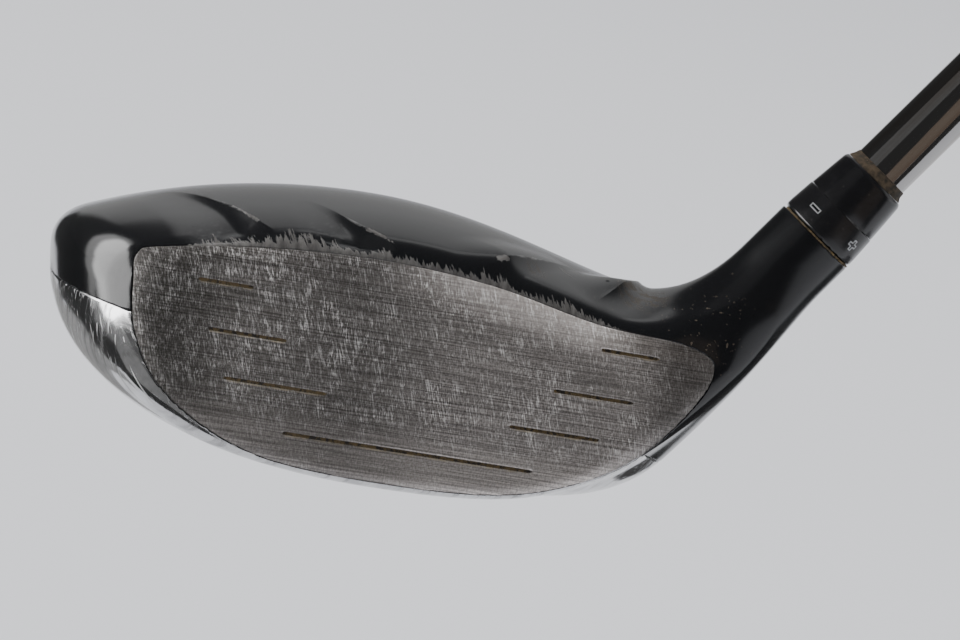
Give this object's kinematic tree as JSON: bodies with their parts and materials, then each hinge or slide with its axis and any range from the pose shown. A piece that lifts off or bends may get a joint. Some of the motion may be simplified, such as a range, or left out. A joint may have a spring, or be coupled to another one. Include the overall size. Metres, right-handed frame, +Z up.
{
  "type": "fairway wood",
  "caption": "Right-handed fairway wood with an adjustable hosel: hollow steel head with ridged black crown, keyed sleeve and screw, stepped chromed shaft and rubber grip.",
  "frame": {"origin": "the flat of the sole that rests on the ground, below the head's middle", "axes": "+Z up, +X towards the heel and along the shaft's lean, -Y the way the face looks"},
  "size_m": [0.6666, 0.0749, 0.9015],
  "materials": {
    "black_paint": "satin to gloss black paint over a cast steel body",
    "polished_steel": "polished stainless steel with fine scratches",
    "brushed_steel": "milled and brushed steel, worn by ball marks",
    "machined_steel": "turned steel",
    "aluminium": "plain machined aluminium",
    "black_aluminium": "black anodised aluminium",
    "black_plastic": "satin black plastic",
    "old_epoxy": "old brown epoxy and grime",
    "shaft_chrome": "mirror chrome plating on steel tube",
    "brass": "plain brass",
    "band_film": "plain dark film, no lettering",
    "paper_tape": "cream double-sided tape",
    "grip_rubber": "matt black moulded rubber",
    "seal_rubber": "black seal rubber",
    "hot_melt": "soft amber glue"
  },
  "bodies": {
    "shaft": {"sleeve": "black_aluminium", "ferrule": "black_plastic", "epoxy_bead": "old_epoxy", "shaft": "shaft_chrome", "tip_plug": "brass", "shaft_band": "band_film", "grip_tape": "paper_tape", "grip": "grip_rubber", "grip_cap": "grip_rubber"},
    "head": {"upper_body": "black_paint", "sole_plate": "polished_steel", "face_plate": "brushed_steel", "weight_port": "machined_steel", "back_weight": "machined_steel", "glue_pad": "hot_melt", "hosel_liner": "aluminium", "screw_washer": "machined_steel", "screw_retainer": "machined_steel"},
    "hosel_screw": {"hosel_screw": "machined_steel"},
    "weight_washer": {"weight_washer": "seal_rubber"},
    "weight_screw": {"weight_screw": "machined_steel"}
  },
  "joints": [
    {"name": "head_release", "type": "slide", "parent": "shaft", "child": "head", "axis": [-0.5446, 0, -0.8387], "range_m": [0, 0.0088]},
    {"name": "hosel_screw_spin", "type": "hinge", "parent": "head", "child": "hosel_screw", "pos_m": [0.0264, -0.003, 0], "axis": [-0.5446, 0, -0.8387], "range_deg": [0, 3961]},
    {"name": "weight_travel", "type": "slide", "parent": "head", "child": "weight_washer", "axis": [0, 0.1063, -0.9943], "range_m": [0, 0.004]},
    {"name": "weight_spin", "type": "hinge", "parent": "weight_washer", "child": "weight_screw", "pos_m": [0, 0.022, 0.00064], "axis": [0, 0.1063, -0.9943], "range_deg": [0, 1441]}
  ],
  "couplings": [
    {"joint": "hosel_screw_spin", "follows": "head_release", "rad_per_m": 7854},
    {"joint": "weight_spin", "follows": "weight_travel", "rad_per_m": 6283.2}
  ]
}
